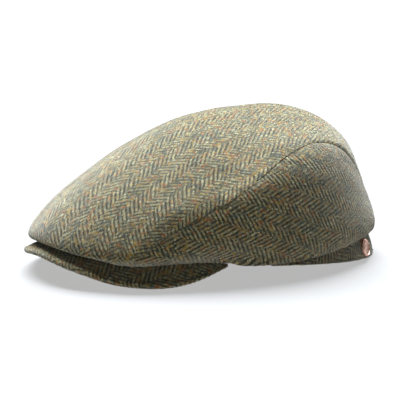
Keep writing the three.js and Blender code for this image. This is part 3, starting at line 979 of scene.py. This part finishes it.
def dressed_band():
    """The band's cloth, folded round its lower edge."""
    rows = 460
    columns = 26
    hem = 7
    angle = np.linspace(BAND_CUT, 2 * BACK - BAND_CUT, rows)[:, None]
    share = np.linspace(1, 0, columns)[None]
    outer = band_point(angle + 0 * share, share + 0 * angle)
    around = np.gradient(outer[:, 0], axis=0)
    inward = np.stack([-around[:, 1], around[:, 0], 0 * around[:, 0]], -1)
    inward /= np.linalg.norm(inward, axis=1)[:, None]
    puff = BAND_PUFF * np.sin(math.pi * share) * band_height(angle) / BAND_HEIGHT
    radius = CLOTH / 2
    lift = np.minimum(radius, band_height(angle) / 2) * (1 - np.minimum(share * 6, 1)) ** 2
    outer = outer - inward[:, None] * puff[..., None]
    outer[..., 2] += lift
    inner = outer[:, ::-1] + inward[:, None] * (CLOTH + puff[:, ::-1])[..., None]
    turn = math.pi * (np.arange(1, hem) / hem)[None]
    low = outer[:, -1:] * 0.5 + inner[:, :1] * 0.5
    fold_row = low - inward[:, None] * (radius * np.cos(turn))[..., None]
    fold_row[..., 2] -= np.minimum(radius, outer[:, -1:, 2] - opening_rise(angle)) * np.sin(turn)
    points = np.concatenate([outer, fold_row, inner], axis=1)
    size = points.shape[1]
    faces = sides_of(rows, size)
    flat_points = points.reshape(-1, 3)
    normal = vertex_normals(flat_points, faces)
    check = size * (rows // 2) + columns // 2
    if normal[check] @ inward[rows // 2] > 0:
        faces, normal = faces[:, ::-1], -normal
    steps = np.linalg.norm(np.diff(points, axis=1), axis=-1)
    down = np.concatenate([np.zeros((rows, 1)), np.cumsum(steps, axis=1)], axis=1)
    along_band = np.concatenate([[0], np.cumsum(np.linalg.norm(np.diff(outer[:, 0], axis=0), axis=1))])
    plain = np.stack([np.repeat(along_band[:, None], size, 1), down], -1).reshape(-1, 2)
    cloth = plain @ wheel(BAND_WEAVE_FALL).T
    inside = np.minimum(down, down[:, -1:] - down).reshape(-1)
    relief = TWILL_RELIEF * twill_height(cloth[:, 0], cloth[:, 1]) * smooth(inside / RELIEF_MARGIN)
    ripple = value_noise(*(cloth / RIPPLE_LENGTH).T, BAND_SEED)
    relief += RIPPLE * ripple * smooth(inside / BAND_RIPPLE_MARGIN)
    flat_points = flat_points + normal * relief[:, None]
    flat_points[:, 2] = np.maximum(flat_points[:, 2], 0)
    ends = [np.arange(size), (rows - 1) * size + np.arange(size)[::-1]]
    made = build("band_cloth", flat_points, list(faces) + ends, cloth, band_cloth)
    area = np.linalg.norm(face_normals(points.reshape(-1, 3), faces), axis=1).sum() / 4 * MM * MM
    return made, (plain.max(0) - plain.min(0)) * MM, area


# The rivet's section from the middle of its back to the middle of its face: radius and height shares.
RIVET_PROFILE = [
    (0, 0), (0.94, 0), (0.985, 0.05), (1, 0.16), (1, 0.7), (0.99, 0.82), (0.96, 0.93), (0.92, 0.985),
    (0.885, 1), (0.855, 0.98), (0.835, 0.92), (0.82, 0.82), (0.79, 0.77), (0.74, 0.77), (0.68, 0.77),
    (0.62, 0.77), (0.57, 0.78), (0.54, 0.84), (0.5, 0.87), (0.46, 0.84), (0.43, 0.78), (0.3, 0.81),
    (0.15, 0.84), (0, 0.85),
]
RIVET_FACE = 0.5
RIVET_BEADS = 26
RIVET_TURNS = 208
# The beads: the radius of their ring, their half width and their height, as shares.
BEAD_RING = 0.68
BEAD_WIDTH = 0.05
BEAD_RISE = 0.13


def dressed_rivet():
    """The copper button, with a raised rim, a ring of beads and a plain middle."""
    radius, height = np.array(RIVET_PROFILE).T
    turn = np.arange(RIVET_TURNS) / RIVET_TURNS * 2 * math.pi
    bead_row = BEAD_RISE * np.exp(-(((radius - BEAD_RING) / BEAD_WIDTH) ** 2))
    beads = bead_row[None] * (0.5 + 0.5 * np.cos(RIVET_BEADS * turn))[:, None]
    rise = BUTTON_THICKNESS * (height[None] + np.where(height > RIVET_FACE, beads, 0)) + BUTTON_GAP
    rise = np.minimum(rise, BUTTON_THICKNESS + BUTTON_GAP)
    wide = BUTTON_RADIUS * radius[None]
    origin = band_point(BUTTON_ANGLE, 0.5)
    around = band_point(BUTTON_ANGLE + 1, 0.5) - band_point(BUTTON_ANGLE - 1, 0.5)
    around /= np.linalg.norm(around)
    outward = np.cross(around, band_point(BUTTON_ANGLE, 1) - band_point(BUTTON_ANGLE, 0))
    outward /= np.linalg.norm(outward)
    up = np.cross(outward, around)
    points = origin + rise[..., None] * outward
    points = points + (wide * np.cos(turn)[:, None])[..., None] * around
    points = points + (wide * np.sin(turn)[:, None])[..., None] * up
    size = len(radius)
    index = np.arange(RIVET_TURNS * size).reshape(RIVET_TURNS, size)
    after = np.roll(index, -1, axis=0)
    sides = np.stack([index[:, 1:-2], after[:, 1:-2], after[:, 2:-1], index[:, 2:-1]], -1)
    faces = list(sides.reshape(-1, 4))
    faces += [index[:, 1][::-1], index[:, -2]]
    cloth = np.stack([np.repeat(turn, size), np.tile(radius, RIVET_TURNS)], -1)
    return build("rivet_metal", points.reshape(-1, 3), faces, cloth, button_metal)


# The panels' rims, in degrees: even at the front lip, and closer near the start of the seam.
FRONT_POINTS = 13
SEAM_POINTS = 41
SEAM_CROWDING = 1.3
front = np.linspace(-SEAM_START, SEAM_START, FRONT_POINTS)
seam = SIDE_PANEL_START + (BACK - SIDE_PANEL_START) * np.linspace(0, 1, SEAM_POINTS) ** SEAM_CROWDING
top_angles = np.concatenate([front, seam, -seam[-2::-1]])
above_seam = seam_place(top_angles) + seam_margin(fold(top_angles))
top_start = np.where(fold(top_angles) < SEAM_START + TINY, 0, above_seam)
top = top_net(top_angles, top_start)
top.flat = np.stack([-top.flat[:, 1], top.flat[:, 0]], -1)

back_gap = SEAM_GAP / 2 / (HALF_WIDTH * math.radians(1))
side_end = seam_place(seam) - seam_margin(seam)
side_angles = np.minimum(seam, BACK - back_gap)
left = side_net(side_angles, side_end)
left.turn(SIDE_WEAVE_FALL)
right = side_net(-side_angles, side_end)
right.turn(SIDE_WEAVE_FALL)

# Each crown panel: its cloth's name, the solid it stands for, and the seed of its waves.
for panel, name, node, seed in (
    (top, "top_cloth", "top_panel", 11),
    (left, "left_side_cloth", "left_side_panel", 12),
    (right, "right_side_cloth", "right_side_panel", 13),
):
    piece, size, area = dressed_panel(panel, name, seed)
    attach(piece, "root")
    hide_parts(node)
    tuple(size)

peak, size, area = dressed_peak()
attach(peak, "root")
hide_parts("peak")
tuple(size)

band, size, area = dressed_band()
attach(band, "root")
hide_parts("back_band")
tuple(size)

rivet = dressed_rivet()
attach(rivet, "root")
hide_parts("rivet")

# Plain pale floor, soft overhead light, and the camera at the photograph's angle.
bpy.ops.mesh.primitive_plane_add(size=60)
floor = bpy.context.object
floor.name = "floor"
paper = Shader("floor_paper")
paper.surface(Base_Color=(0.16, 0.16, 0.16, 1), Roughness=0.9, Specular_IOR_Level=0.0)
paper.surface(Emission_Color=(1, 1, 1, 1), Emission_Strength=0.46)
floor.data.materials.append(paper.material)

scene = bpy.context.scene
scene.view_settings.view_transform = "Standard"
world = bpy.data.worlds.new("studio")
world.use_nodes = True
world.node_tree.nodes["Background"].inputs["Color"].default_value = (1, 1, 1, 1)
world.node_tree.nodes["Background"].inputs["Strength"].default_value = 0.04
scene.world = world

sun = bpy.data.lights.new("overhead", "SUN")
sun.energy = 16.0
sun.color = (0.95, 1.0, 1.06)
sun.angle = math.radians(56)
overhead = bpy.data.objects.new("overhead", sun)
overhead.rotation_mode = "QUATERNION"
overhead.rotation_quaternion = Vector((-0.588, 0.282, 1)).to_track_quat("Z", "Y")
scene.collection.objects.link(overhead)

CAMERA_AZIMUTH = 60.0
CAMERA_ELEVATION = 12.0
CAMERA_DISTANCE = 2500.0
IMAGE_PIXELS = 400
PIXELS_PER_MM = 1.39
AIM_HEIGHT = 55.0
AIM_AT = (227.0, 181.0)
azimuth, elevation = math.radians(CAMERA_AZIMUTH), math.radians(CAMERA_ELEVATION)
back = np.array([
    math.sin(azimuth) * math.cos(elevation),
    -math.cos(azimuth) * math.cos(elevation),
    math.sin(elevation),
])
rightward = np.array([math.cos(azimuth), math.sin(azimuth), 0])
upward = np.cross(back, rightward)
middle = IMAGE_PIXELS / 2
aim = SHIFT + [0, 0, AIM_HEIGHT]
aim = aim - rightward * (AIM_AT[0] - middle) / PIXELS_PER_MM + upward * (AIM_AT[1] - middle) / PIXELS_PER_MM
lens = bpy.data.cameras.new("camera")
lens.sensor_width = 36
lens.lens = PIXELS_PER_MM * CAMERA_DISTANCE * lens.sensor_width / IMAGE_PIXELS
camera = bpy.data.objects.new("camera", lens)
camera.location = (aim + back * CAMERA_DISTANCE) * MM
facing = np.stack([rightward, upward, back], 1)
camera.rotation_mode = "QUATERNION"
camera.rotation_quaternion = Matrix(facing.tolist()).to_quaternion()
lens.clip_end = 100
scene.collection.objects.link(camera)
scene.camera = camera
